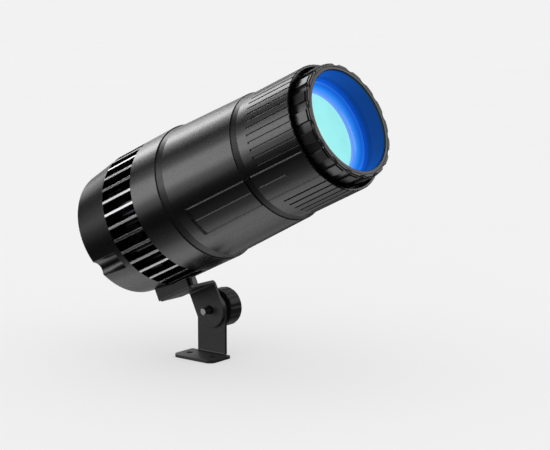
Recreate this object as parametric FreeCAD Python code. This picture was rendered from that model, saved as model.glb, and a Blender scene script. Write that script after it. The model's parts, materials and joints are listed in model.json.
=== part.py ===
import FreeCAD, Part
import math
import os

V = FreeCAD.Vector

# ---------------------------------------------------------------- driving dimensions (mm, degrees)
TILT = 25.36                 # tube above the horizontal, at rest
PIVOT = (1.5, 11.8, 39.5)     # clamp screw axis, on the face where web and leg meet
AXIS_Y = -15.0               # tube axis beside the pivot
AXIS_N = 89.45               # tube axis above the pivot, square to the tube

STRIP_T = 2.5                # bracket strip thickness
STRIP_W = 30.0               # bracket strip width
FOOT_X = (-21.0, 22.0)       # foot plate along X
FOOT_Y = (-13.0, 13.0)       # foot plate beside the bend, along Y
FOOT_R = 6.0                 # its front corners
BEND_R = 1.0                 # inside of the foot's bend
HOLE_PITCH = 25.4            # foot holes
HOLE_D = 5.5

SCREW_R = 3.0                # M6 clamp screw
KNOB_R = 16.5
N_KNOB = 12                  # shallow flutes round the knob

# stations along the tube axis (s = 0 lies square above the pivot) and radii
S_REAR = -50.6
S_VENT0, S_VENT1 = -10.8, 23.95
S_G1A, S_G1B = 54.2, 60.2
S_G2A, S_G2B = 135.6, 140.6
BAND1 = (58.5, 57.05)        # tapered bands between the body's sections, radius at both ends
BAND2 = (53.95, 52.7)
S_LIP = 195.8
R_REAR, R_MAX, R_HOUS = 52.9, 59.5, 59.35
R_MID0, R_MID1 = 57.5, 54.64
R_SLV0, R_SLV1 = 53.06, 52.4
N_RIB = 33
RIB_W = 2.2
N_FLUTE = 54
N_LOBE = 18
LOBE_W0 = 11.0               # angle of the first lobe
PAD_W = -29.5                # middle of the side covers
PAD_ARC = 13.5               # half of the angle that they cover
PAD_UP = 0.3                 # how far they stand out
BEAD = 0.35                  # radius of the lines round their edges
RIDGE_W = 1.5                # their ridge, beside the middle
NOTCH_W = (-29.5, -150.5)
PILLAR_RAD = 52.2

RING_S0, RING_S1, RING_END = 196.5, 208.3, 211.0
RING_TUBE_R = 45.5
RING_BORE = 43.2
GUIDE_R = 45.56
APERTURE_R = 41.6
LIP = 2.0                    # depth of the ring's front lip

CARRIER_S0, CARRIER_S1 = 154.0, 182.0
FLARE_S, FLARE_R = 189.2, 41.8      # front end of the carrier's flare
LENS_R = 38.0
ROD_RAD = 40.0

os.makedirs("parts", exist_ok=True)
AX = V(1, 0, 0)
O = V(0, 0, 0)


# ---------------------------------------------------------------- helpers
def rev(pts, ang=360.0):
    """Solid of revolution about the tube axis. pts are (s, r); ('a', (s, r), (s, r)) is an arc."""
    edges = []
    cur = pts[0]
    first = V(cur[0], 0, cur[1])
    last = first
    for p in pts[1:]:
        if p[0] == 'a':
            m = V(p[1][0], 0, p[1][1])
            e = V(p[2][0], 0, p[2][1])
            edges.append(Part.Arc(last, m, e).toShape())
            last = e
        else:
            e = V(p[0], 0, p[1])
            if (e - last).Length > 1e-9:
                edges.append(Part.LineSegment(last, e).toShape())
            last = e
    if (last - first).Length > 1e-9:
        edges.append(Part.LineSegment(last, first).toShape())
    face = Part.Face(Part.Wire(edges))
    return face.revolve(O, AX, ang)


def at(shape, w):
    """Turn a shape made at the top of the tube to the angle w (-90 is the bottom, 0 the near side)."""
    s = shape.copy()
    s.rotate(O, AX, 90.0 - w)
    return s


def cylx(r, s0, s1, y=0.0, z=0.0):
    return Part.makeCylinder(r, s1 - s0, V(s0, y, z), AX)


def sector(s0, s1, r0, r1, w0, w1):
    w = Part.makePolygon([V(s0, 0, r0), V(s1, 0, r0), V(s1, 0, r1), V(s0, 0, r1), V(s0, 0, r0)])
    f = Part.Face(w)
    f.rotate(O, AX, 90.0 - w1)
    return f.revolve(O, AX, w1 - w0)


def box(x0, x1, y0, y1, z0, z1):
    return Part.makeBox(x1 - x0, y1 - y0, z1 - z0, V(x0, y0, z0))


def prism_xz(pts, y0, y1):
    w = Part.makePolygon([V(x, y0, z) for x, z in pts] + [V(pts[0][0], y0, pts[0][1])])
    return Part.Face(w).extrude(V(0, y1 - y0, 0))


def hexx(af, s0, s1, y=0.0, z=0.0):
    r = af / math.sqrt(3.0)
    pts = [V(s0, y + r * math.cos(math.radians(60 * i)), z + r * math.sin(math.radians(60 * i))) for i in range(7)]
    return Part.Face(Part.makePolygon(pts)).extrude(V(s1 - s0, 0, 0))


def comp(shapes):
    return Part.makeCompound(shapes)


def fuse(a, *b):
    r = a.fuse(list(b))
    return r.removeSplitter()


def cut(a, *b):
    return a.cut(comp(list(b))) if len(b) > 1 else a.cut(b[0])


def one(shape):
    """The single solid of a boolean's result."""
    s = sorted(shape.Solids, key=lambda q: -q.Volume)
    return s[0]


def polar(rad, w):
    a = math.radians(w)
    return (-rad * math.cos(a), rad * math.sin(a))


def r_at(s):
    """Outer radius of the body at station s."""
    pr = [(S_REAR, R_REAR), (-46.5, 55.2), (S_VENT0, R_MAX), (S_G1A, R_HOUS), (S_G1B, R_MID0),
          (S_G2A, R_MID1), (S_G2B, R_SLV0), (S_LIP, R_SLV1)]
    for (a, b), (c, d) in zip(pr, pr[1:]):
        if a <= s <= c:
            return b + (d - b) * (s - a) / (c - a)
    return pr[-1][1]


tube_parts = {}     # made about the tube axis
piv_parts = {}      # made about the pivot, tilted
base_parts = {}     # made in place

# ================================================================ foot bracket (fixed)
px, py, pz = PIVOT
leg = fuse(box(px - STRIP_W / 2, px + STRIP_W / 2, py, py + STRIP_T, 2.0, pz),
           Part.makeCylinder(STRIP_W / 2, STRIP_T, V(px, py, pz), V(0, 1, 0)))
foot = fuse(box(FOOT_X[0], FOOT_X[1], FOOT_Y[0], FOOT_Y[1], 0, STRIP_T),
            box(px - STRIP_W / 2, px + STRIP_W / 2, 0, py + STRIP_T, 0, STRIP_T))


def vertical_edges(shape, keys):
    out = []
    for e in shape.Edges:
        b = e.BoundBox
        if b.ZLength > 1.0 and b.XLength < 1e-6 and b.YLength < 1e-6:
            for (x, y) in keys:
                if abs(b.XMin - x) < 0.01 and abs(b.YMin - y) < 0.01:
                    out.append(e)
    return out


foot = foot.makeFillet(FOOT_R, vertical_edges(foot, [(FOOT_X[0], FOOT_Y[0]), (FOOT_X[1], FOOT_Y[0])]))
foot = foot.makeFillet(2.0, vertical_edges(foot, [(FOOT_X[0], FOOT_Y[1]), (FOOT_X[1], FOOT_Y[1])]))
bracket = fuse(foot, leg)
# inner bend radius and rounded outer edge of the bend
fill = box(px - STRIP_W / 2, px + STRIP_W / 2, py - BEND_R, py, STRIP_T, STRIP_T + BEND_R)
fill = fill.cut(Part.makeCylinder(BEND_R, STRIP_W + 2, V(px - STRIP_W / 2 - 1, py - BEND_R, STRIP_T + BEND_R), AX))
bracket = fuse(bracket, fill)
ro = STRIP_T + BEND_R - 0.5
yo = py + STRIP_T
rnd = box(px - STRIP_W / 2 - 0.5, px + STRIP_W / 2 + 0.5, yo - ro, yo + 0.2, -0.2, ro)
rnd = rnd.cut(Part.makeCylinder(ro, STRIP_W + 4, V(px - STRIP_W / 2 - 2, yo - ro, ro), AX))
bracket = bracket.cut(rnd)
for x in (px - STRIP_W / 2, px + STRIP_W / 2):       # bend relief slots beside the leg
    bracket = bracket.cut(box(x - 0.9, x + 0.9, py - 0.6, py + STRIP_T + 1, -1, STRIP_T + 0.01))
for x in (-HOLE_PITCH / 2, HOLE_PITCH / 2):
    bracket = bracket.cut(Part.makeCylinder(HOLE_D / 2, 10, V(x, 0, -2)))
bracket = bracket.cut(Part.makeCylinder(SCREW_R + 0.05, 20, V(px, py - 5, pz), V(0, 1, 0)))
base_parts["foot_bracket"] = one(bracket)

# ================================================================ tilt bracket (x = along the tube, z = square to it)
web = fuse(box(-STRIP_W / 2, STRIP_W / 2, -STRIP_T, 0, 0, 19.6),
           Part.makeCylinder(STRIP_W / 2, STRIP_T, V(0, -STRIP_T, 0), V(0, 1, 0)))
FL_U = (-22.4, 14.7)
FL_N = (19.6, 22.1)
FL_Y = -32.3
flange = box(FL_U[0], FL_U[1], FL_Y, 0, FL_N[0], FL_N[1])
flange = flange.makeFillet(2.0, vertical_edges(flange, [(FL_U[0], FL_Y), (FL_U[1], FL_Y)]))
tb = fuse(web, flange)
fill = box(-STRIP_W / 2, 14.7, -STRIP_T - 1.2, -STRIP_T, FL_N[0] - 1.2, FL_N[0])
fill = fill.cut(Part.makeCylinder(1.2, 50, V(-25, -STRIP_T - 1.2, FL_N[0] - 1.2), AX))
tb = fuse(tb, fill)
# outer round of the bend
rnd = box(-30, 20, -3.0, 0.1, FL_N[1] - 3.0, FL_N[1] + 0.1)
rnd = rnd.cut(Part.makeCylinder(3.0, 60, V(-35, -3.0, FL_N[1] - 3.0), AX))
tb = tb.cut(rnd)
tb = tb.cut(box(-23.0, -STRIP_W / 2, -4.5, 0.1, 19.0, 23.0))       # the wide end stops short of the bend
tb = tb.cut(Part.makeCylinder(SCREW_R + 0.05, 20, V(0, -10, 0), V(0, 1, 0)))
tb = tb.cut(Part.makeCone(SCREW_R + 0.05, SCREW_R + 1.25, 1.2, V(0, -STRIP_T + 1.2, 0), V(0, -1, 0)))
BOLT_U = (-14.0, 2.0)
for u in BOLT_U:
    tb = tb.cut(Part.makeCylinder(2.2, 10, V(u, AXIS_Y, 17), V(0, 0, 1)))
    tb = tb.cut(Part.makeCone(4.3, 2.1, 2.2, V(u, AXIS_Y, FL_N[0] - 0.5), V(0, 0, 1)))
piv_parts["tilt_bracket"] = one(tb)

scr = []
for u in BOLT_U:             # countersunk, flush with the flange
    head = Part.makeCone(3.78, 1.98, 1.8, V(u, AXIS_Y, FL_N[0]), V(0, 0, 1))
    head = fuse(head, Part.makeCylinder(1.98, 9.7, V(u, AXIS_Y, FL_N[0] + 1.8)))
    head = head.cut(comp([box(u - 1.9, u + 1.9, AXIS_Y - 0.35, AXIS_Y + 0.35, FL_N[0] - 1, FL_N[0] + 1.2),
                          box(u - 0.35, u + 0.35, AXIS_Y - 1.9, AXIS_Y + 1.9, FL_N[0] - 1, FL_N[0] + 1.2)]))
    scr.append(one(head))
piv_parts["bracket_screws"] = comp(scr)

# ================================================================ clamp knob, screw, washer (about the pivot, along Y)
YD = V(0, 1, 0)
Y_LEG = STRIP_T
washer = Part.makeCylinder(8.0, 1.5, V(0, Y_LEG + 0.1, 0), YD).cut(Part.makeCylinder(SCREW_R + 0.05, 3, V(0, Y_LEG - 0.5, 0), YD))
piv_parts["knob_washer"] = one(washer)
Y_HUB0, Y_K0, Y_K1 = Y_LEG + 1.6, 7.0, 21.3
hub = Part.makeCylinder(8.6, Y_K0 - Y_HUB0 + 0.5, V(0, Y_HUB0, 0), YD)
kb = Part.makeCylinder(KNOB_R, Y_K1 - Y_K0, V(0, Y_K0, 0), YD)
kb = kb.makeFillet(1.1, [e for e in kb.Edges if e.BoundBox.YLength < 1e-6])
flut = []
for i in range(N_KNOB):
    a = math.radians(360.0 / N_KNOB * (i + 0.5))
    rr = KNOB_R + 5.62
    flut.append(Part.makeCylinder(6.0, 30, V(rr * math.cos(a), 0, rr * math.sin(a)), YD))
kb = fuse(kb.cut(comp(flut)), hub)
kb = kb.cut(Part.makeCylinder(11.0, 1.2, V(0, Y_K1 - 1.0, 0), YD))          # shallow dish in the outer face
kb = kb.cut(Part.makeCylinder(SCREW_R + 0.02, 16.0 - Y_HUB0 + 1, V(0, Y_HUB0 - 1, 0), YD))
hexr = 10.0 / math.sqrt(3.0)
hp = [V(hexr * math.cos(math.radians(60 * i)), 12.0, hexr * math.sin(math.radians(60 * i))) for i in range(7)]
hx = Part.Face(Part.makePolygon(hp)).extrude(V(0, 4.0, 0))
kb = kb.cut(hx)
piv_parts["tilt_knob"] = one(kb)
screw = Part.makeCylinder(SCREW_R, 12.5 + 10.7, V(0, -10.7, 0), YD)
screw = screw.makeChamfer(0.5, [e for e in screw.Edges if e.BoundBox.YLength < 1e-6 and abs(e.BoundBox.YMin + 10.7) < 1e-6])
hexr = 9.96 / math.sqrt(3.0)
hp = [V(hexr * math.cos(math.radians(60 * i)), 12.0, hexr * math.sin(math.radians(60 * i))) for i in range(7)]
screw = fuse(screw, Part.Face(Part.makePolygon(hp)).extrude(V(0, 4.0, 0)))
piv_parts["tilt_screw"] = one(screw)

# ================================================================ rear housing
outer = [(S_REAR, 37.5), (S_REAR, 51.2), ('a', (-49.6, 53.7), (-46.5, 55.2)), (S_VENT0, R_MAX), (S_G1A - 0.7, R_HOUS),
         ('a', (S_G1A - 0.205, R_HOUS - 0.205), (S_G1A, R_HOUS - 0.7))]
inner = [(S_G1A, 55.9), (42.0, 55.9), (42.0, 54.6), (39.5, 54.6), (38.0, 55.9), (-6.0, 55.9), (-46.9, 49.9), (-46.9, 46.5), (-45.1, 46.5), (-45.1, 37.5)]
hs = rev(outer + inner)
hs = fuse(hs, rev([(-13.5, 53.4), (26.5, 53.4), (26.5, 57.0), (-13.5, 57.0)]))
blocks = [sector(-47.2, -9.5, 46.0, 57.5, w - 11.5, w + 11.5) for w in NOTCH_W]
inside = rev([(S_REAR + 0.5, 0), (S_REAR + 0.5, 51.5), (-46.5, 54.4), (S_VENT0, 58.4), (30, 58.4), (30, 0)])
blocks = [b.common(inside) for b in blocks]
hs = fuse(hs, *blocks)
hs = hs.cut(cylx(43.6, S_REAR - 1, -47.1))
pan_posts = []
PAN_W = (45, 135, 225, 315)
for w in PAN_W:
    y, z = polar(40.5, w)
    pan_posts.append(cylx(3.2, -47.1, -37.0, y, z))
hs = fuse(hs, *pan_posts)
for w in PAN_W:
    y, z = polar(40.5, w)
    hs = hs.cut(cylx(1.5, -50, -38.0, y, z))
# notches with their screw pockets
for w in NOTCH_W:
    y, z = polar(57.0, w)
    y2, z2 = polar(PILLAR_RAD, w)
    nc = fuse(cylx(8.0, -70, -18.0, y, z), cylx(3.4, -18.5, -12.0, y2, z2))
    hs = hs.cut(nc)
    hs = hs.cut(cylx(1.6, -13, -8, y2, z2))
    hs = hs.cut(cylx(3.3, -1.0, 43.0, y2, z2))
# boss under the housing
BOSS = box(-34.7, 6.0, -6.0, 6.0, FL_N[1] - AXIS_N, -54.0)
boss = BOSS.makeFillet(0.8, [e for e in BOSS.Edges if e.BoundBox.ZLength > 5 and e.BoundBox.XLength < 1e-6 and e.BoundBox.XMin < 0])
boss = boss.makeFillet(4.0, [e for e in boss.Edges if e.BoundBox.ZLength > 5 and e.BoundBox.XLength < 1e-6 and abs(e.BoundBox.XMin - 6.0) < 1e-6])
# vents
half = math.degrees(RIB_W / 2 / 59.45)
pitch = 360.0 / N_RIB
slots = []
for k in range(N_RIB):
    w0 = -90.0 + k * pitch + half
    slots.append(sector(S_VENT0, S_VENT1, 52.0, 62.0, w0, w0 + pitch - 2 * half))
hs = hs.cut(comp(slots))
bore = rev([(-46.9, 0), (-46.9, 49.9), (-13.5, 54.7), (-13.5, 53.4), (40, 53.4), (40, 0)])
boss = boss.cut(bore)
hs = fuse(hs, boss)
for u in BOLT_U:
    hs = hs.cut(Part.makeCylinder(2.0, 11.0, V(u, 0, FL_N[1] - AXIS_N - 1)))
tube_parts["rear_housing"] = one(hs)

hscr = []
for w in NOTCH_W:
    y, z = polar(PILLAR_RAD, w)
    b = cylx(2.8, -14.4, -12.0, y, z)
    b = fuse(b, cylx(1.45, -12.0, 12.0, y, z))
    b = b.cut(box(-14.5, -13.2, y - 1.7, y + 1.7, z - 0.3, z + 0.3)).cut(box(-14.5, -13.2, y - 0.3, y + 0.3, z - 1.7, z + 1.7))
    hscr.append(one(b))
tube_parts["housing_screws"] = comp(hscr)

# ================================================================ rear panel and what it carries
S_P0, S_P1 = -49.6, -47.1
panel = cylx(43.5, S_P0, S_P1)
JACK = (0.0, -24.0)
SW = (0.0, 18.0)
BTN = (18.0, -8.0)
IRW = (-18.0, -8.0)
panel = panel.cut(cylx(5.55, -55, -40, JACK[0], JACK[1]))
panel = panel.cut(box(-55, -40, SW[0] - 9.6, SW[0] + 9.6, SW[1] - 6.5, SW[1] + 6.5))
panel = panel.cut(cylx(3.1, -55, -40, BTN[0], BTN[1]))
panel = panel.cut(cylx(4.0, -55, -40, IRW[0], IRW[1]))
for w in PAN_W:
    y, z = polar(40.5, w)
    panel = panel.cut(cylx(1.6, -55, -40, y, z))
tube_parts["rear_panel"] = one(panel)
ps = []
for w in PAN_W:
    y, z = polar(40.5, w)
    b = fuse(cylx(1.45, S_P0, -38.5, y, z), cylx(2.7, S_P0 - 0.95, S_P0, y, z))
    b = b.cut(box(-51, S_P0 - 0.3, y - 1.6, y + 1.6, z - 0.3, z + 0.3)).cut(box(-51, S_P0 - 0.3, y - 0.3, y + 0.3, z - 1.6, z + 1.6))
    ps.append(one(b))
tube_parts["panel_screws"] = comp(ps)

jy, jz = JACK
jack = fuse(cylx(6.4, S_P0 - 0.95, S_P0, jy, jz), cylx(5.5, S_P0, -37.0, jy, jz))
jack = jack.cut(cylx(2.8, -52, -39.0, jy, jz))
jack = fuse(jack, cylx(1.0, -49.0, -38.5, jy, jz), box(-37.0, -35.2, jy - 3.2, jy - 2.6, jz - 1, jz + 1),
            box(-37.0, -35.2, jy + 2.6, jy + 3.2, jz - 1, jz + 1))
tube_parts["power_jack"] = one(jack)
nut = hexx(14.0, S_P1, -44.6, jy, jz).cut(cylx(5.55, -48, -44, jy, jz))
tube_parts["jack_nut"] = one(nut)

# switch bezel with the rocker hinged in it
sy, sz = SW
bez = fuse(box(S_P0 - 0.95, S_P0, sy - 11.0, sy + 11.0, sz - 7.8, sz + 7.8), box(S_P0, -38.0, sy - 9.5, sy + 9.5, sz - 6.4, sz + 6.4))
bez = bez.cut(box(-52, -40.0, sy - 8.0, sy + 8.0, sz - 4.9, sz + 4.9))
bez = bez.cut(Part.makeCylinder(1.05, 12.0, V(-45.5, sy, sz - 6.0), V(0, 0, 1)))
tube_parts["switch_bezel"] = one(bez)
RK = (-45.5, sy)          # rocker pin
ROCK = 8.0                # half of the rocker's travel; it is stored switched off
pts = [V(-49.9, sy - 6.4, sz - 4.6), V(-49.2, sy, sz - 4.6), V(-49.9, sy + 6.4, sz - 4.6), V(-44.8, sy + 5.0, sz - 4.6), V(-44.8, sy - 5.0, sz - 4.6),
       V(-49.9, sy - 6.4, sz - 4.6)]
rkb = Part.Face(Part.makePolygon(pts)).extrude(V(0, 0, 9.2))
rk = Part.makeCylinder(2.6, 9.2, V(RK[0], sy, sz - 4.6), V(0, 0, 1))
rk = fuse(rkb, rk, Part.makeCylinder(1.0, 11.6, V(RK[0], sy, sz - 5.8), V(0, 0, 1)))
rk = one(rk)
rk.rotate(V(RK[0], RK[1], sz), V(0, 0, 1), -ROCK)
tube_parts["power_rocker"] = rk

by, bz = BTN
btn = fuse(cylx(3.0, -50.4, -46.4, by, bz), cylx(3.9, -47.0, -46.2, by, bz), cylx(1.5, -46.3, -45.6, by, bz))
btn = one(btn)
tube_parts["mode_button"] = btn
iy, iz = IRW
irw = fuse(cylx(4.8, S_P0 - 0.6, S_P0, iy, iz), cylx(3.95, S_P0, S_P1, iy, iz))
tube_parts["receiver_window"] = one(irw)

# small board behind the panel: tact switch, receiver, three pegs' screws
cb = box(-43.3, -41.7, -27.0, 27.0, -15.5, -1.0)
cb = cb.cut(cylx(7.5, -60, -30, jy, jz))
cb = cb.cut(comp([cylx(1.6, -60, -30, -24.5, -4.0), cylx(1.6, -60, -30, 24.5, -4.0)]))
tube_parts["control_board"] = one(cb)
tube_parts["tact_switch"] = fuse(box(-44.0, -43.3, by - 3, by + 3, bz - 3, bz + 3), cylx(1.7, -44.9, -44.0, by, bz))
rcv = fuse(box(-45.2, -43.3, iy - 3.2, iy + 3.2, iz - 3.2, iz + 3.2), Part.makeSphere(1.8, V(-45.2, iy, iz)).common(box(-50, -45.2, iy - 3, iy + 3, iz - 3, iz + 3)))
tube_parts["receiver"] = one(rcv)
pegs = []
for y in (-24.5, 24.5):
    pegs.append(cylx(2.6, S_P1, -43.3, y, -4.0).cut(cylx(1.5, -46.5, -40, y, -4.0)))
tube_parts["control_spacers"] = comp(pegs)
cs = []
for y in (-24.5, 24.5):
    cs.append(fuse(cylx(1.45, -46.3, -41.7, y, -4.0), cylx(2.5, -41.7, -40.2, y, -4.0)))
tube_parts["control_screws"] = comp([one(c) for c in cs])

# ================================================================ mid body
SPIG = 55.8
mb = rev([(42.0, SPIG), (S_G1A, SPIG), (S_G1A, BAND1[0]), (S_G1B, BAND1[1]), ('a', (S_G1B + 0.13, R_MID0 - 0.13), (S_G1B + 0.45, R_MID0)),
          (S_G2A - 0.6, R_MID1), ('a', (S_G2A - 0.176, R_MID1 - 0.176), (S_G2A, R_MID1 - 0.6)), (S_G2A, 51.9), (124.0, 51.9), (124.0, 50.6), (121.5, 50.6), (118.0, 52.4), (66.0, 54.4), (62.5, 52.8), (60.0, 52.8), (60.0, 42.5), (56.0, 42.5), (56.0, 52.8), (42.0, 52.8)])
pil = []
for w in NOTCH_W:
    y, z = polar(PILLAR_RAD, w)
    pil.append(cylx(3.0, 0.0, 57.0, y, z))
mb = fuse(mb, *pil)
for w in NOTCH_W:
    y, z = polar(PILLAR_RAD, w)
    mb = mb.cut(cylx(1.5, -1.0, 14.0, y, z))
HS_W = (30, 150, 270)
CH_W = (90, 210, 330)
for w in HS_W:
    y, z = polar(45.5, w)
    mb = mb.cut(cylx(1.7, 55, 61, y, z))
for w in CH_W:
    y, z = polar(48.6, w)
    mb = mb.cut(cylx(1.5, 56.8, 61, y, z))


def r_mid(s):
    return R_MID0 + (R_MID1 - R_MID0) * (s - S_G1B) / (S_G2A - S_G1B)


def r_slv(s):
    return R_SLV0 + (R_SLV1 - R_SLV0) * (s - S_G2B) / (S_LIP - S_G2B)


def wedge(rf, s0, s1, lo, hi, w0, w1):
    """Piece of the tube's wall between lo and hi above its own surface, from the angle w0 to w1."""
    w = Part.makePolygon([V(s0, 0, rf(s0) + lo), V(s1, 0, rf(s1) + lo), V(s1, 0, rf(s1) + hi), V(s0, 0, rf(s0) + hi), V(s0, 0, rf(s0) + lo)])
    f = Part.Face(w)
    f.rotate(O, AX, 90.0 - w1)
    return f.revolve(O, AX, w1 - w0)


def line_on(rf, s0, s1, up, w):
    """Thin half-round line along the tube."""
    a0, a1 = V(s0, 0, rf(s0) + up - 0.1), V(s1, 0, rf(s1) + up - 0.1)
    r = Part.makeCylinder(BEAD, (a1 - a0).Length, a0, a1 - a0)
    return at(fuse(r, Part.makeSphere(BEAD, a0), Part.makeSphere(BEAD, a1)), w)


def line_across(rf, s, up, w0, w1):
    f = Part.Face(Part.Wire([Part.Circle(V(s, 0, rf(s) + up - 0.14), V(0, 1, 0), BEAD - 0.03).toShape()]))
    f.rotate(O, AX, 90.0 - w1)
    return f.revolve(O, AX, w1 - w0)


def cover(rf, s0, s1, thick, w, up, ends, s_pip=None):
    """Raised side cover: rounded edges with a thin line along them, a ridge beside its middle, a pip where the ridge ends."""
    b = wedge(rf, s0, s1, -thick, up, w - PAD_ARC, w + PAD_ARC)
    sel = []
    for e in b.Edges:
        if all(math.hypot(v.Point.y, v.Point.z) > rf(v.Point.x) + 0.1 for v in e.Vertexes):
            sel.append(e)
    b = b.makeFillet(0.2, sel)
    r0, r1 = s0 + 1.0, (s_pip or s1 - 0.6)
    lines = [line_on(rf, s0 + 0.8, s1 - 0.6, up, w + PAD_ARC - 0.75), line_on(rf, s0 + 0.8, s1 - 0.6, up, w - PAD_ARC + 0.75),
             line_on(rf, r0 + 1.6, r1, up, w + RIDGE_W)]
    for s in ends:
        lines.append(line_across(rf, s, up, w - PAD_ARC + 0.6, w + PAD_ARC - 0.6))
    if s_pip:
        lines.append(at(Part.makeSphere(0.9, V(r1, 0, rf(r1) + up - 0.3)), w + RIDGE_W))
    for q in lines:
        b = one(b.fuse(q))
    return b


PAD_ANG = (PAD_W, -180.0 - PAD_W)
MP = (71.0, 135.2)
FP = (140.9, 195.6)
GAP_W = 0.12
for w in PAD_ANG:
    mb = mb.cut(wedge(r_mid, MP[0] - 0.3, S_G2A + 1.0, -1.6, 6.0, w - PAD_ARC - GAP_W, w + PAD_ARC + GAP_W))
tube_parts["mid_body"] = one(mb)
c = cover(r_mid, MP[0], MP[1], 1.55, PAD_W, PAD_UP, (MP[0] + 1.15, MP[0] + 2.9))
rail = Part.Face(Part.makePolygon([V(MP[1] - 2.0, 0, 53.15), V(MP[1] + 0.25, 0, 53.15), V(MP[1] + 0.25, 0, 54.08), V(FP[0] - 0.35, 0, 52.82), V(FP[0] - 0.35, 0, 53.3),
                                   V(MP[1] + 0.25, 0, 54.88), V(MP[1] - 2.0, 0, 54.88), V(MP[1] - 2.0, 0, 53.15)]))
rail.rotate(O, AX, 90.0 - PAD_W - PAD_ARC)
c = one(fuse(c, rail.revolve(O, AX, 1.3)))               # the upper edge runs on over the band
tube_parts["mid_side_covers"] = comp([c, c.mirror(O, V(0, 1, 0))])

# ================================================================ front sleeve with its guide tube
sv = rev([(124.0, 51.85), (S_G2A, 51.85), (S_G2A, BAND2[0]), (S_G2B, BAND2[1]), ('a', (S_G2B + 0.105, R_SLV0 - 0.105), (S_G2B + 0.36, R_SLV0)), (S_LIP - 0.3, R_SLV1), (S_LIP, R_SLV1 - 0.3), (S_LIP, 50.5),
          (183.8, 50.2), (183.8, 47.2), (195.4, 47.2), (195.4, GUIDE_R), (150.0, GUIDE_R), (150.0, 47.2), (181.8, 47.2), (181.8, 50.0), (143.0, 50.6), (141.0, 49.4), (124.0, 49.4)])
fl = []
for k in range(N_FLUTE):
    w = 90.0 - k * 360.0 / N_FLUTE
    ww = (w + 360.0) % 360.0
    skip = False
    for c in PAD_ANG:
        d = (ww - (c + 360.0) % 360.0 + 180.0) % 360.0 - 180.0
        if abs(d) < PAD_ARC + 1.8:
            skip = True
    if skip:
        continue
    g = prism_xz([(151.0, r_at(151.0) - 0.8), (197.0, R_SLV1 - 0.8), (197.0, 55.0), (151.0, 55.0)], -0.7, 0.7)
    fl.append(at(g, w))
sv = sv.cut(comp(fl))
for w in PAD_ANG:
    sv = sv.cut(wedge(r_slv, FP[0] - 0.1, FP[1] + 0.05, -1.2, 6.0, w - PAD_ARC - GAP_W, w + PAD_ARC + GAP_W))
tube_parts["front_sleeve"] = one(sv)


c = cover(r_slv, FP[0], FP[1], 1.15, PAD_W, PAD_UP + 0.15, (), 171.0)
tube_parts["front_side_covers"] = comp([c, c.mirror(O, V(0, 1, 0))])

# ================================================================ heat sink, light source
NF = 32
FIN_T = 1.5
CORE_R = 22.0
core = cylx(CORE_R, -5.0, 50.0)
base = cylx(49.0, 50.0, 56.0)
fins = []
for i in range(NF):
    f = box(-5.0, 50.5, -FIN_T / 2, FIN_T / 2, CORE_R - 1.0, 46.0)
    f.rotate(O, AX, 360.0 / NF * (i + 0.5))
    fins.append(f)
posts = []
ST = [(25.0, 25.0), (25.0, -25.0), (-25.0, 25.0), (-25.0, -25.0)]
for y, z in ST:
    posts.append(cylx(3.0, -5.0, 50.5, y, z))
hsk = core.fuse([base] + fins + posts)
for y, z in ST:
    hsk = hsk.cut(cylx(1.5, -6.0, 8.0, y, z))
for w in HS_W:
    y, z = polar(45.5, w)
    hsk = hsk.cut(cylx(1.5, 50.5, 57.0, y, z))
for z in (-10.5, 10.5):
    hsk = hsk.cut(cylx(1.25, 51.0, 57.0, 0, z))
tube_parts["heat_sink"] = one(hsk)
h2 = []
for w in HS_W:
    y, z = polar(45.5, w)
    h2.append(one(fuse(cylx(1.45, 51.5, 60.0, y, z), cylx(2.6, 60.0, 62.2, y, z))))
tube_parts["heat_sink_screws"] = comp(h2)
lb = cylx(14.0, 56.0, 57.6).cut(comp([cylx(1.4, 55, 59, 0, 10.5), cylx(1.4, 55, 59, 0, -10.5)]))
tube_parts["led_board"] = one(lb)
tube_parts["led_chip"] = fuse(box(57.6, 58.6, -5.5, 5.5, -5.5, 5.5), cylx(4.6, 58.6, 59.0))
tube_parts["led_screws"] = comp([one(fuse(cylx(1.2, 52.0, 57.6, 0, z), cylx(2.3, 57.6, 59.2, 0, z))) for z in (-10.5, 10.5)])

# condenser lens in its cup
ch = rev([(60.0, 44.5), (60.0, 51.5), (62.6, 51.5), (62.6, 46.5), (76.0, 46.5), (76.0, 26.0), (73.0, 26.0), (73.0, 44.5)])
for w in HS_W:
    y, z = polar(45.5, w)
    ch = ch.cut(cylx(3.2, 58, 63.4, y, z))
for w in CH_W:
    y, z = polar(48.6, w)
    ch = ch.cut(cylx(1.6, 58, 64, y, z))
ROD_W = (0, 180)
for w in ROD_W:
    y, z = polar(ROD_RAD, w)
    ch = ch.cut(cylx(1.5, 74.0, 80, y, z))
tube_parts["condenser_holder"] = one(ch)


def plano(flat, edge, apex, r):
    """Plano-convex lens: flat face, end of the straight rim, top of the curved face, radius."""
    h = abs(apex - edge)
    rs = (r * r + h * h) / (2 * h)
    c = apex + rs if flat > apex else apex - rs
    return one(cylx(r, min(flat, apex) - 1.0 if flat > apex else flat, flat if flat > apex else apex + 1.0).common(Part.makeSphere(rs, V(c, 0, 0))))


tube_parts["condenser_lens"] = plano(73.0, 69.0, 62.0, 30.0)
tube_parts["condenser_retainer"] = rev([(66.0, 28.2), (68.0, 28.2), (68.0, 30.1), (73.0, 30.1), (73.0, 32.5), (69.0, 32.5), (69.0, 41.5), (73.0, 41.5), (73.0, 44.4), (66.0, 44.4)])
c2 = []
for w in CH_W:
    y, z = polar(48.6, w)
    c2.append(one(fuse(cylx(1.45, 57.0, 62.6, y, z), cylx(2.0, 62.6, 64.4, y, z))))
tube_parts["condenser_screws"] = comp(c2)
rods = []
for w in ROD_W:
    y, z = polar(ROD_RAD, w)
    rods.append(cylx(1.5, 74.0, 159.0, y, z))
tube_parts["guide_rods"] = comp(rods)

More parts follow.
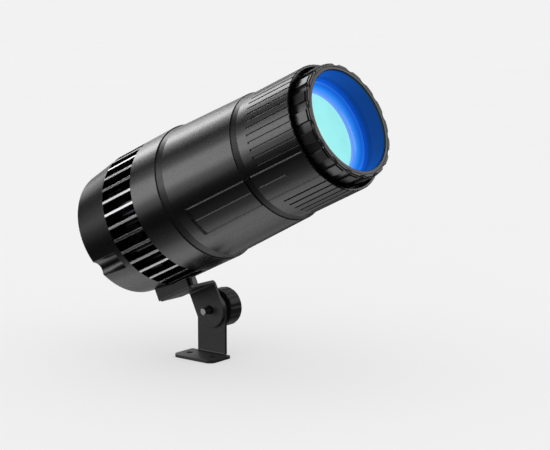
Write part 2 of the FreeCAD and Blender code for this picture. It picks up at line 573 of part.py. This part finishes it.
# ================================================================ fan, spacers, driver board
FAN0, FAN1 = -20.0, -5.0
fr = box(FAN0, FAN1, -30, 30, -30, 30)
fr = fr.makeFillet(3.0, [e for e in fr.Edges if e.BoundBox.XLength > 5])
fr = fr.cut(cylx(28.5, FAN0 - 1, FAN1 + 1))
arms = [cylx(14.0, FAN0, FAN0 + 2.0)]
for i in range(4):
    a = box(FAN0, FAN0 + 2.0, -1.5, 1.5, 10, 29.5)
    a.rotate(O, AX, 45 + 90 * i)
    arms.append(a)
fr = fuse(fr, *arms)
fr = fuse(fr, cylx(2.0, FAN0, FAN0 + 11.0))
fr = fr.cut(comp([cylx(1.55, FAN0 - 1, FAN1 + 1, y, z) for y, z in ST]))
tube_parts["fan_frame"] = one(fr)
rot = cylx(15.0, FAN0 + 2.8, FAN0 + 13.5).cut(cylx(2.05, FAN0, FAN0 + 11.8))
blades = []
NB = 7
for i in range(NB):
    w = Part.makePolygon([V(FAN0 + 4.0, -5.0, 14.0), V(FAN0 + 5.2, -5.0, 14.0), V(FAN0 + 13.0, 5.0, 14.0), V(FAN0 + 11.8, 5.0, 14.0), V(FAN0 + 4.0, -5.0, 14.0)])
    b = Part.Face(w).extrude(V(0, 0, 13.0))
    b.rotate(O, AX, 360.0 / NB * i)
    blades.append(b)
rot = rot.fuse(blades)
tube_parts["fan_rotor"] = one(rot)

B0, B1 = -33.6, -32.0
sp, bsc = [], []
for y, z in ST:
    h = hexx(5.0, B1, FAN0, y, z)
    h = fuse(h, cylx(1.45, FAN0, 4.0, y, z))
    h = h.cut(cylx(1.5, B1 - 1, B1 + 6, y, z))
    sp.append(one(h))
    bsc.append(one(fuse(cylx(1.45, B0, B1 + 5, y, z), cylx(2.6, B0 - 2.0, B0, y, z))))
tube_parts["board_spacers"] = comp(sp)
tube_parts["board_screws"] = comp(bsc)
db = cylx(39.0, B0, B1).cut(comp([cylx(1.6, B0 - 1, B1 + 1, y, z) for y, z in ST]))
tube_parts["driver_board"] = one(db)
tube_parts["driver_capacitors"] = comp([cylx(5.0, B1, B1 + 10.0, 0, 24), cylx(5.0, B1, B1 + 10.0, 12.5, 15), cylx(4.0, B1, B1 + 8.0, -24, 0)])
ind = cylx(8.0, B1, B1 + 8.0, 0, -22).cut(cylx(3.2, B1 - 1, B1 + 9, 0, -22))
tube_parts["driver_inductor"] = one(ind)
tube_parts["driver_transformer"] = box(B1, B1 + 9.5, 10, 28, -10, 6)
tube_parts["driver_chip"] = box(B1, B1 + 1.4, -4, 6, -4, 4)

# ================================================================ zoom ring, hood liner, retainer, seal
core = rev([(146.0, RING_BORE), (146.0, RING_TUBE_R), (RING_S0, RING_TUBE_R), (RING_S0, 45.9), (RING_S1, 45.9), (RING_S1, 45.7),
            (208.8, 45.7), (208.8, 45.3), (RING_END - 0.6, 45.3), (RING_END, 45.0), (RING_END, APERTURE_R + 0.7), ('a', (RING_END - 0.2, APERTURE_R + 0.2), (RING_END - 0.7, APERTURE_R)),
            (RING_END - LIP, APERTURE_R), (RING_END - LIP, RING_BORE)])
lobes = []
for k in range(N_LOBE):
    w = LOBE_W0 + 20.0 * k
    # flat facet of the grip
    hw = 47.4 * math.sin(math.radians(5.4))
    w4 = Part.makePolygon([V(RING_S0, -hw - 0.1, 44.0), V(RING_S0, hw + 0.1, 44.0), V(RING_S0, hw, 47.15), V(RING_S0, hw - 0.2, 47.35),
                           V(RING_S0, -hw + 0.2, 47.35), V(RING_S0, -hw, 47.15), V(RING_S0, -hw - 0.1, 44.0)])
    lobes.append(at(Part.Face(w4).extrude(V(RING_S1 - RING_S0, 0, 0)), w))
# scalloped rim: rounded peaks between narrow valleys
RP, RV, RC = 47.0, 45.7, 6.6
rim = rev([(208.8, 45.0), (208.8, RP), (RING_END, RP), (RING_END, 45.0)])
vall = []
for k in range(N_LOBE):
    w = LOBE_W0 + 10.0 + 20.0 * k
    y, z = polar(RV + RC, w)
    vall.append(cylx(RC, 208.0, 212.0, y, z))
rim = rim.cut(comp(vall))
rim = one(rim)
rim = rim.makeFillet(0.9, [e for e in rim.Edges if e.BoundBox.XLength < 1e-6 and min(math.hypot(v.Point.y, v.Point.z) for v in e.Vertexes) > 45.4])
zr = core.fuse(lobes + [rim])
zr = zr.removeSplitter()
zr = zr.cut(cylx(RING_BORE, 140.0, RING_END - LIP - 0.5))
zr = zr.cut(rev([(RING_END - 0.3, 44.2), (RING_END + 0.2, 44.2), (RING_END + 0.2, 44.5), (RING_END - 0.3, 44.5)]))     # fine line round the front face
tube_parts["zoom_ring"] = one(zr)
liner = rev([(188.3, 42.2), (188.3, 43.15), (RING_END - LIP, 43.15), (RING_END - LIP, 42.2)])
for i in range(4):           # fine grooves inside its rear end
    s0 = 191.0 + 1.5 * i
    liner = liner.cut(rev([(s0, 42.0), (s0, 42.5), (s0 + 0.7, 42.5), (s0 + 0.7, 42.0)]))
tube_parts["hood_liner"] = one(liner)
# snap ring behind the guide tube keeps the ring from coming out
tube_parts["ring_retainer"] = rev([(146.0, RING_TUBE_R), (146.0, 47.6), (149.7, 47.6), (149.7, RING_TUBE_R)])

# ================================================================ lens carrier
lc = rev([(CARRIER_S0, 35.5), (CARRIER_S0, 43.1), (CARRIER_S1, 43.1), (CARRIER_S1, FLARE_R), (FLARE_S, FLARE_R), (FLARE_S, FLARE_R - 0.25),
          ('a', (CARRIER_S1 + 2.5, 39.5), (CARRIER_S1 + 0.2, 35.7)), (CARRIER_S1, 35.5)])
lc = lc.cut(cylx(LENS_R + 0.05, CARRIER_S0 + 10.0, CARRIER_S1 - 1.0))
for w in ROD_W:
    y, z = polar(ROD_RAD, w)
    lc = lc.cut(cylx(1.56, CARRIER_S0 - 1, CARRIER_S1 - 2.0, y, z))
# open behind: the lens drops in from there and its retainer follows
lc = lc.cut(cylx(LENS_R + 0.05, CARRIER_S0 - 1, CARRIER_S0 + 11.0))
tube_parts["lens_carrier"] = one(lc)
tube_parts["main_lens"] = plano(CARRIER_S1 - 1.0, CARRIER_S1 - 5.0, CARRIER_S1 - 12.6, LENS_R)
tube_parts["lens_retainer"] = rev([(CARRIER_S1 - 20.0, 36.0), (CARRIER_S1 - 20.0, 38.05), (CARRIER_S1 - 5.02, 38.05), (CARRIER_S1 - 5.02, 37.95), (CARRIER_S1 - 6.2, 36.0)])

# ================================================================ place everything and write it
tube_to_piv = FreeCAD.Placement(V(0, AXIS_Y, AXIS_N), FreeCAD.Rotation(V(0, 1, 0), 0))
tilt = FreeCAD.Placement(V(*PIVOT), FreeCAD.Rotation(V(0, 1, 0), -TILT))


def place(shape, *pls):
    s = shape.copy()
    for p in pls:
        s = s.transformed(p.toMatrix(), True)
    return s


out = {}
for n, s in base_parts.items():
    out[n] = s
for n, s in piv_parts.items():
    out[n] = place(s, tilt)
for n, s in tube_parts.items():
    out[n] = place(s, tube_to_piv, tilt)

total = 0.0
for n, s in sorted(out.items()):
    ok = s.isValid()
    b = s.BoundBox
    total += s.Volume
    print("%-20s valid %s solids %d vol %.2f cm3  X %.1f..%.1f Y %.1f..%.1f Z %.1f..%.1f" % (
        n, ok, len(s.Solids), s.Volume / 1000.0, b.XMin, b.XMax, b.YMin, b.YMax, b.ZMin, b.ZMax))
    s.exportStep("parts/%s.step" % n)
print("nodes", len(out), "volume cm3 %.1f" % (total / 1000.0))
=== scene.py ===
import json
import math

import bmesh
import bpy
from mathutils import Matrix, Vector

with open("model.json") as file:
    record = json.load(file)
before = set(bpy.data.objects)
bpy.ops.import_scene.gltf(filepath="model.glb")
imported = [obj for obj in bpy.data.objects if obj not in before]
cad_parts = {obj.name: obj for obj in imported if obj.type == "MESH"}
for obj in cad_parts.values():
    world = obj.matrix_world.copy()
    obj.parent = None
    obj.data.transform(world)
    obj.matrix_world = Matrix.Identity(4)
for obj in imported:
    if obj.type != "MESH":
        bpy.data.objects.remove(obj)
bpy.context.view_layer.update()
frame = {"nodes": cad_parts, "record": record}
nodes = frame["nodes"]
scene = bpy.context.scene

# ---------------------------------------------------------------- numbers, in metres

TILT = math.radians(25.36)
PIVOT = Vector((0.0015, 0.0118, 0.0395))
AXIS_Y, AXIS_N = -0.015, 0.08945
CT, ST = math.cos(TILT), math.sin(TILT)


def tube(s, y, z):
    """A point given about the tube's own axis (s along it, millimetres) in the frame's metres."""
    x, y, z = s / 1000, y / 1000 + AXIS_Y, z / 1000 + AXIS_N
    return Vector((PIVOT.x + x * CT - z * ST, PIVOT.y + y, PIVOT.z + x * ST + z * CT))


def rim(s, r, deg):
    """A point on a circle round the tube: deg 0 faces -Y, 90 is the top."""
    a = math.radians(deg)
    return tube(s, -r * math.cos(a), r * math.sin(a))


TUBE = Matrix(((CT, 0, -ST, 0), (0, 1, 0, 0), (ST, 0, CT, 0), (0, 0, 0, 1)))
TUBE = Matrix.Translation(tube(0, 0, 0)) @ TUBE


# ---------------------------------------------------------------- materials

class Mat:
    """A small builder for node materials."""

    def __init__(self, name):
        self.m = bpy.data.materials.new(name)
        self.m.use_nodes = True
        self.t = self.m.node_tree
        self.t.nodes.clear()
        self.out = self.new("ShaderNodeOutputMaterial")
        self.b = self.new("ShaderNodeBsdfPrincipled")
        self.link(self.b, 0, self.out, 0)
        self.co = self.new("ShaderNodeTexCoord")

    def new(self, kind, **kw):
        n = self.t.nodes.new(kind)
        for k, v in kw.items():
            setattr(n, k, v)
        return n

    def link(self, a, ao, b, bi):
        self.t.links.new(a.outputs[ao], b.inputs[bi])

    def put(self, **kw):
        for k, v in kw.items():
            self.b.inputs[k.replace("_", " ")].default_value = v
        return self

    def noise(self, scale, detail=2.0, rough=0.5, stretch=None, local=False):
        n = self.new("ShaderNodeTexNoise")
        n.inputs["Scale"].default_value = scale
        n.inputs["Detail"].default_value = detail
        n.inputs["Roughness"].default_value = rough
        src = self.co
        if local:
            mp = self.new("ShaderNodeMapping")
            inv = TUBE.inverted()
            mp.inputs["Rotation"].default_value = inv.to_euler()
            mp.inputs["Location"].default_value = inv.to_translation()
            self.link(src, "Object", mp, "Vector")
            src = mp
        if stretch is not None:
            m2 = self.new("ShaderNodeMapping")
            m2.inputs["Scale"].default_value = stretch
            self.link(src, "Vector" if local else "Object", m2, "Vector")
            self.link(m2, 0, n, "Vector")
        else:
            self.link(src, "Vector" if local else "Object", n, "Vector")
        return n

    def range(self, src, lo, hi, a=0.3, b=0.7, out="Fac"):
        r = self.new("ShaderNodeMapRange")
        r.inputs["From Min"].default_value = a
        r.inputs["From Max"].default_value = b
        r.inputs["To Min"].default_value = lo
        r.inputs["To Max"].default_value = hi
        self.link(src, out, r, "Value")
        return r

    def ramp(self, src, stops, out="Fac"):
        r = self.new("ShaderNodeValToRGB")
        els = r.color_ramp.elements
        els[0].position, els[0].color = stops[0][0], (*stops[0][1], 1)
        els[1].position, els[1].color = stops[-1][0], (*stops[-1][1], 1)
        for p, c in stops[1:-1]:
            e = els.new(p)
            e.color = (*c, 1)
        self.link(src, out, r, 0)
        return r

    def bump(self, src, dist, strength=1.0, out="Fac", under=None):
        n = self.new("ShaderNodeBump")
        n.inputs["Distance"].default_value = dist
        n.inputs["Strength"].default_value = strength
        self.link(src, out, n, "Height")
        if under is not None:
            self.link(under, 0, n, "Normal")
        return n


def tube_coords(k):
    """Station along the tube, distance from its axis and height beside it, in metres, as shader values."""
    mp = k.new("ShaderNodeMapping")
    inv = TUBE.inverted()
    mp.inputs["Rotation"].default_value = inv.to_euler()
    mp.inputs["Location"].default_value = inv.to_translation()
    k.link(k.co, "Object", mp, "Vector")
    sep = k.new("ShaderNodeSeparateXYZ")
    k.link(mp, 0, sep, 0)
    flat = k.new("ShaderNodeVectorMath", operation="MULTIPLY")
    flat.inputs[1].default_value = (0, 1, 1)
    k.link(mp, 0, flat, 0)
    ln = k.new("ShaderNodeVectorMath", operation="LENGTH")
    k.link(flat, 0, ln, 0)
    return mp, sep, ln


def between(k, src, out, lo, hi, soft=0.0001):
    """1 where the value lies between lo and hi."""
    a = k.range(src, 0.0, 1.0, lo - soft, lo + soft, out)
    b = k.range(src, 1.0, 0.0, hi - soft, hi + soft, out)
    m = k.new("ShaderNodeMath", operation="MULTIPLY")
    k.link(a, 0, m, 0)
    k.link(b, 0, m, 1)
    return m


BANDS = ((0.0543, 0.0601, 0.0560, 0.0586), (0.1357, 0.1405, 0.0520, 0.0541))   # the two bands between the body's sections


def moulded(name, base, rough, spread=0.05, grain=2600.0, depth=0.00002, fleck=0.3, bevel=0.0, ribs=None, painted_shade_lines=()):
    """Moulded or coated black surface: fine grain, slow gloss variation, faint dust; optionally thin lines across the
    tube painted dark as shade by removing most of their specular reflection.
    """
    k = Mat(name)
    slow = k.noise(38.0, 3.0, 0.55)
    mid = k.noise(420.0, 2.0, 0.5)
    fine = k.noise(grain, 2.0, 0.6)
    add = k.new("ShaderNodeMath", operation="ADD")
    k.link(k.range(slow, rough - spread, rough + spread), 0, add, 0)
    k.link(k.range(mid, -spread * 0.5, spread * 0.5), 0, add, 1)
    k.link(add, 0, k.b, "Roughness")
    dust = k.ramp(mid, [(0.35, base), (0.62, tuple(c * (1 + fleck) for c in base)), (0.75, tuple(c * (1 + 2.5 * fleck) for c in base))])
    k.link(dust, 0, k.b, "Base Color")
    under = None
    if bevel:
        bv = k.new("ShaderNodeBevel")
        bv.samples = 6
        bv.inputs["Radius"].default_value = bevel
        under = bv
    b1 = k.bump(fine, depth, 0.7, under=under)
    b2 = k.bump(mid, depth * 1.6, 0.35, under=b1)
    k.link(b2, 0, k.b, "Normal")
    # painted shade: within these stations along the tube the specular drops almost to nothing, so the gaps read dark
    if painted_shade_lines:
        mp, sep, ln = tube_coords(k)
        total = None
        for s0, s1 in painted_shade_lines:
            g = between(k, sep, "X", s0, s1, 0.00008)
            if total is not None:
                m = k.new("ShaderNodeMath", operation="MAXIMUM")
                k.link(total, 0, m, 0)
                k.link(g, 0, m, 1)
                g = m
            total = g
        k.link(k.range(total, 0.5, 0.04, 0.0, 1.0, 0), 0, k.b, "Specular IOR Level")
    if ribs:
        mp, sep, ln = tube_coords(k)
        inside = between(k, sep, "X", -0.0107, 0.02385)
        outer = between(k, ln, "Value", 0.05915, 0.0597)
        m = k.new("ShaderNodeMath", operation="MULTIPLY")
        k.link(inside, 0, m, 0)
        k.link(outer, 0, m, 1)
        k.link(m, 0, k.b, "Metallic")
        mix = k.new("ShaderNodeMix", data_type="RGBA")
        k.link(m, 0, mix, 0)
        k.t.links.new(dust.outputs[0], mix.inputs[6])
        mix.inputs[7].default_value = (*ribs, 1)
        band = k.new("ShaderNodeMath", operation="MAXIMUM")
        for i, (s0, s1, r0, r1) in enumerate(BANDS):
            g = k.new("ShaderNodeMath", operation="MULTIPLY")
            k.link(between(k, sep, "X", s0, s1), 0, g, 0)
            k.link(between(k, ln, "Value", r0, r1), 0, g, 1)
            k.link(g, 0, band, i)
        matt = k.new("ShaderNodeMix", data_type="RGBA")
        k.link(band, 0, matt, 0)
        k.t.links.new(mix.outputs[2], matt.inputs[6])
        matt.inputs[7].default_value = (0.0016, 0.0016, 0.0017, 1)
        k.t.links.new(matt.outputs[2], k.b.inputs["Base Color"])
        gloss = k.new("ShaderNodeMix", data_type="FLOAT")
        k.link(band, 0, gloss, 0)
        k.link(add, 0, gloss, 2)
        gloss.inputs[3].default_value = 0.34
        k.link(gloss, 0, k.b, "Roughness")
    return k.m


def metal(name, base, rough, spread=0.08, stretch=(1, 1, 1), scale=900.0, depth=0.000008):
    k = Mat(name)
    k.put(Metallic=1.0)
    fine = k.noise(scale, 3.0, 0.6, stretch=stretch)
    slow = k.noise(60.0, 3.0, 0.5)
    add = k.new("ShaderNodeMath", operation="ADD")
    k.link(k.range(fine, rough - spread, rough + spread), 0, add, 0)
    k.link(k.range(slow, -spread * 0.5, spread * 0.5), 0, add, 1)
    k.link(add, 0, k.b, "Roughness")
    c = k.ramp(slow, [(0.3, tuple(v * 0.82 for v in base)), (0.7, base)])
    k.link(c, 0, k.b, "Base Color")
    k.link(k.bump(fine, depth, 0.6), 0, k.b, "Normal")
    return k.m


def plastic(name, base, rough, spread=0.04, scale=700.0, depth=0.00001, shade=0.8):
    k = Mat(name)
    n = k.noise(scale, 2.0, 0.5)
    slow = k.noise(70.0, 2.0, 0.5)
    k.link(k.range(slow, rough - spread, rough + spread), 0, k.b, "Roughness")
    c = k.ramp(slow, [(0.3, tuple(v * shade for v in base)), (0.7, base)])
    k.link(c, 0, k.b, "Base Color")
    k.link(k.bump(n, depth, 0.5), 0, k.b, "Normal")
    return k.m


M = {}
M["housing_black"] = moulded("housing_black_mould", (0.0016, 0.0016, 0.0017), 0.27, 0.010, 3200.0, 0.000003, bevel=0.0004, ribs=(0.27, 0.27, 0.275))
M["ring_black"] = moulded("ring_black_mould", (0.007, 0.007, 0.0072), 0.30, 0.02, 3200.0, 0.000003, bevel=0.0003)
M["bracket_black"] = moulded("bracket_powder_coat", (0.012, 0.012, 0.0125), 0.42, 0.05, 1500.0, 0.00005, bevel=0.0004)
M["knob_black"] = moulded("knob_mould", (0.006, 0.006, 0.0063), 0.46, 0.05, 2400.0, 0.00002, bevel=0.0005)
M["fan_black"] = moulded("fan_mould", (0.012, 0.012, 0.013), 0.45)
M["rocker_black"] = moulded("rocker_mould", (0.008, 0.008, 0.009), 0.22, 0.03, 3000.0, 0.000006, bevel=0.0003)
M["component"] = moulded("component_body", (0.012, 0.012, 0.012), 0.38)
M["zinc"] = metal("zinc_plate", (0.42, 0.42, 0.43), 0.36)
M["black_screw"] = metal("black_oxide", (0.045, 0.045, 0.05), 0.38)
M["aluminium_dark"] = metal("anodised", (0.055, 0.058, 0.07), 0.40, stretch=(1, 1, 6))
M["aluminium_plain"] = metal("bare_aluminium", (0.72, 0.72, 0.74), 0.34)
M["brass_spacer"] = metal("turned_brass", (0.62, 0.46, 0.18), 0.32)
M["capacitor"] = metal("capacitor_sleeve", (0.05, 0.05, 0.16), 0.42)
M["pcb_green"] = plastic("solder_mask", (0.004, 0.010, 0.008), 0.32)
M["ferrite"] = plastic("ferrite_core", (0.05, 0.05, 0.052), 0.6)
M["ir_red"] = plastic("receiver_filter", (0.035, 0.002, 0.004), 0.12)
M["led_white"] = plastic("phosphor", (0.85, 0.7, 0.2), 0.5)


def graded(name, axis, lo, hi, stops, rough, light, glow, far_painted_light=1.0, near_painted_light=1.0, coat=0.0, spec=0.5):
    """Coloured lining with painted light: its colour and brightness run along the tube (axis X) or outwards from its
    axis (axis R), one side of the tube is painted lighter than the other, and part of its brightness is emission.
    """
    k = Mat(name)
    mp, sep, ln = tube_coords(k)
    v = k.range(sep, 0.0, 1.0, lo, hi, "X") if axis == "X" else k.range(ln, 0.0, 1.0, lo, hi, "Value")
    c = k.ramp(v, stops, out=0)
    # painted light: the side towards -Y gets a different brightness factor than the side beyond Y = 40 mm, in both
    # base colour and glow
    side = k.range(sep, near_painted_light, far_painted_light, 0.0, 0.040, "Y")
    slow = k.range(k.noise(55.0, 2.0, 0.5), 0.96, 1.04)
    f = k.new("ShaderNodeMath", operation="MULTIPLY")
    k.link(side, 0, f, 0)
    k.link(slow, 0, f, 1)
    # the emission is painted glow on the hood and the azure ring, standing for the lamp's light falling on them; on
    # the lens it is the lamp's own light shining through
    for strength, socket in ((light, "Base Color"), (glow, "Emission Color")):
        g = k.new("ShaderNodeMath", operation="MULTIPLY")
        g.inputs[1].default_value = strength
        k.link(f, 0, g, 0)
        s = k.new("ShaderNodeVectorMath", operation="SCALE")
        k.link(c, 0, s, 0)
        k.link(g, 0, s, 3)
        k.link(s, 0, k.b, socket)
    k.put(Emission_Strength=1.0, Roughness=rough, Specular_IOR_Level=spec)
    if coat:
        k.put(Coat_Weight=coat, Coat_Roughness=0.1)
    k.link(k.bump(k.noise(800.0), 0.00001, 0.3), 0, k.b, "Normal")
    return k.m


# hood lining, painted light: bright blue by the lens and darker towards the open end, nearly twice as bright on the -Y
# side, much of it emission
M["blue_hood"] = graded("hood_blue_painted_glow", "X", 0.1885, 0.209,
                        [(0.0, (0.0, 0.07, 0.50)), (0.25, (0.0, 0.035, 0.22)), (1.0, (0.0, 0.035, 0.20))], 0.40, 0.35, 0.8, 1.0, 1.9, spec=0.2)
# azure ring, painted light: lighter by the lens edge and darker outwards, a little brighter on the -Y side, much of it
# emission
M["azure_ring"] = graded("carrier_azure_painted_glow", "R", 0.0356, 0.0417,
                         [(0.0, (0.15, 0.32, 0.90)), (0.5, (0.02, 0.27, 0.90)), (1.0, (0.0, 0.07, 0.50))], 0.25, 0.6, 0.70, 1.0, 1.1, 0.4)
M["lens_acrylic"] = graded("lens_cyan", "R", 0.0, 0.0356,
                           [(0.0, (0.35, 0.88, 0.82)), (0.96, (0.35, 0.88, 0.82)), (1.0, (0.10, 0.30, 0.70))], 0.12, 0.45, 0.80, 1.0, 1.0, 0.5)

k = Mat("lens_glass_clear")
n = k.noise(90.0, 2.0)
k.link(k.range(n, 0.01, 0.04), 0, k.b, "Roughness")
k.put(Transmission_Weight=1.0, IOR=1.49, Base_Color=(0.9, 0.97, 0.97, 1))
M["lens_glass"] = k.m

slots = {p["node"]: p["material_slot"] for p in frame["record"]["subparts"]}
M["panel_black"] = moulded("panel_mould", (0.020, 0.020, 0.0205), 0.44, 0.05, 1800.0, 0.00003, bevel=0.0004)
slots["rear_panel"] = "panel_black"
# side covers: painted shade in the two gaps across their front end
M["cover_black"] = moulded("cover_mould_painted_shade", (0.0016, 0.0016, 0.0017), 0.27, 0.010, 3200.0, 0.000003, bevel=0.0004, painted_shade_lines=((0.0705, 0.0719), (0.0726, 0.0736)))
slots["mid_side_covers"] = "cover_black"
for name, o in nodes.items():
    o.data.materials.clear()
    o.data.materials.append(M[slots[name]])

# ---------------------------------------------------------------- camera

cam = bpy.data.cameras.new("camera")
cam.sensor_width = 36.0
cam.sensor_fit = "HORIZONTAL"
cam.lens = 105.936
cam.shift_x = 0.009745
cam.shift_y = 0.001145
cam.clip_start, cam.clip_end = 0.05, 30.0
cam_o = bpy.data.objects.new("camera", cam)
right = Vector((0.78634, 0.61781, 0.0))
up = Vector((-0.10005, 0.12735, 0.98682))
fwd = Vector((-0.60966, 0.77596, -0.16195))
cam_o.matrix_world = Matrix((
    (right.x, up.x, -fwd.x, 0.8681),
    (right.y, up.y, -fwd.y, -1.0112),
    (right.z, up.z, -fwd.z, 0.3313),
    (0, 0, 0, 1)))
scene.collection.objects.link(cam_o)
scene.camera = cam_o

# ---------------------------------------------------------------- floor, light and world

fm = bpy.data.meshes.new("floor")
bm = bmesh.new()
bmesh.ops.create_grid(bm, x_segments=2, y_segments=2, size=60.0)
bm.to_mesh(fm)
bm.free()
floor = bpy.data.objects.new("floor", fm)
scene.collection.objects.link(floor)
k = Mat("floor_paper")
n = k.noise(3.0, 2.0)
k.link(k.ramp(n, [(0.3, (0.445, 0.445, 0.445)), (0.7, (0.455, 0.455, 0.455))]), 0, k.b, "Base Color")
k.put(Roughness=1.0, Emission_Color=(1, 1, 1, 1), Emission_Strength=0.488)
k.b.inputs["Specular IOR Level"].default_value = 0.0
fm.materials.append(k.m)
floor.visible_glossy = False
floor.visible_shadow = False

CENTRE = tube(75, 0, 0)


def area(name, az, el, dist, w, h, radiance, color=(1, 1, 1), aim=None, roll=0.0, diffuse=True):
    """A soft box: az 0 stands at -Y and -90 at -X, el is above the horizon."""
    a, e = math.radians(az), math.radians(el)
    d = Vector((math.sin(a) * math.cos(e), -math.cos(a) * math.cos(e), math.sin(e)))
    L = bpy.data.lights.new(name, "AREA")
    L.shape = "RECTANGLE"
    L.size, L.size_y = w, h
    L.energy = radiance * 4.0 * w * h
    L.color = color
    o = bpy.data.objects.new(name, L)
    p = (aim or CENTRE) + d * dist
    q = d.to_track_quat("Z", "Y")
    o.matrix_world = Matrix.Translation(p) @ q.to_matrix().to_4x4() @ Matrix.Rotation(roll, 4, "Z")
    o.visible_camera = False
    o.visible_diffuse = diffuse
    scene.collection.objects.link(o)
    return o


EYE = Vector((0.8681, -1.0112, 0.3313))


def bounce(deg, s=80, r=56.8, lean=0.0):
    """A point on the tube and the way a line of sight from the camera leaves it there."""
    p = rim(s, r, deg)
    n = (p - tube(s, 0, 0)).normalized()
    n = (n * math.cos(lean) - TUBE.col[0].to_3d() * math.sin(lean)).normalized()
    v = (EYE - p).normalized()
    return p, (2 * n.dot(v) * n - v).normalized()


CAP = math.radians(6.87)


def soft_bar(name, p, d, x, y, y0, y1, wide, radiance, away):
    if radiance <= 0:
        return
    L = bpy.data.lights.new(name, "AREA")
    L.shape = "RECTANGLE"
    L.size, L.size_y = wide, y1 - y0
    L.energy = radiance * 4.0 * wide * (y1 - y0)
    o = bpy.data.objects.new(name, L)
    o.matrix_world = Matrix.Translation(p + d * away + y * (y0 + y1) / 2) @ Matrix((x, y, d)).transposed().to_4x4()
    o.visible_camera = False
    o.visible_diffuse = False
    scene.collection.objects.link(o)


def strip(deg, front, rear, away=2.0):
    """One strip of the soft light wall: seen in the tube's side at that angle, and further back in the tapered cap."""
    p, d = bounce(deg)
    pr, dr = bounce(deg, -30, 57.3, CAP)
    half = (d - dr).length / 2 * away
    for tag, radiance, q, e, kw, y0, y1 in (("f", front, p, d, {}, -half, 1.1), ("r", rear, pr, dr, {"s": -30, "r": 57.3, "lean": CAP}, -1.0, half)):
        y = (d - dr) if kw and deg < 60 else TUBE.col[0].to_3d()
        y = (y - y.dot(e) * e).normalized()
        x = y.cross(e)
        step = bounce(deg + 4, **kw)[1] - bounce(deg - 4, **kw)[1]
        soft_bar(f"strip_{deg}{tag}", q, e, x, y, y0, y1, abs(step.dot(x)) * away, radiance, away)


for deg, front, rear in ((80, 1.9, 0.2), (72, 0.6, 1.8), (64, 0.4, 0.4), (56, 1.5, 0.2), (48, 4.6, 0.95), (40, 0.9, 0.8), (32, 0.0, 0.05), (24, 0.6, 0.05), (16, 3.3, 0.15),
                         (8, 3.6, 0.45), (0, 1.0, 0.15), (-24, 0.12, 0.05), (-32, 0.34, 0.2), (-40, 1.2, 0.8), (-48, 1.65, 1.0), (-56, 1.2, 0.75),
                         (-64, 0.7, 0.45), (-72, 0.3, 0.3), (-80, 0.3, 0.3)):
    strip(deg, front, rear)
area("rear_right", 147, 22, 2.2, 0.8, 0.8, 1.9, diffuse=False)
area("side_right", 92, 38, 2.2, 0.8, 1.6, 1.4, diffuse=False)
area("rear_top", 180, 52, 2.2, 1.0, 0.8, 1.4, diffuse=False)

w = bpy.data.worlds.new("studio")
w.use_nodes = True
scene.world = w
t = w.node_tree
t.nodes.clear()
out = t.nodes.new("ShaderNodeOutputWorld")
mix = t.nodes.new("ShaderNodeMixShader")
lp = t.nodes.new("ShaderNodeLightPath")
b1 = t.nodes.new("ShaderNodeBackground")
b2 = t.nodes.new("ShaderNodeBackground")
b1.inputs["Color"].default_value = (0.887, 0.887, 0.887, 1)
b1.inputs["Strength"].default_value = 1.0
b2.inputs["Color"].default_value = (1, 1, 1, 1)
b2.inputs["Strength"].default_value = 0.022
t.links.new(lp.outputs["Is Glossy Ray"], mix.inputs[0])
t.links.new(b1.outputs[0], mix.inputs[1])
t.links.new(b2.outputs[0], mix.inputs[2])
t.links.new(mix.outputs[0], out.inputs[0])

scene.view_settings.view_transform = "Standard"
scene.view_settings.look = "None"
scene.view_settings.exposure = 0.0
scene.view_settings.gamma = 1.0
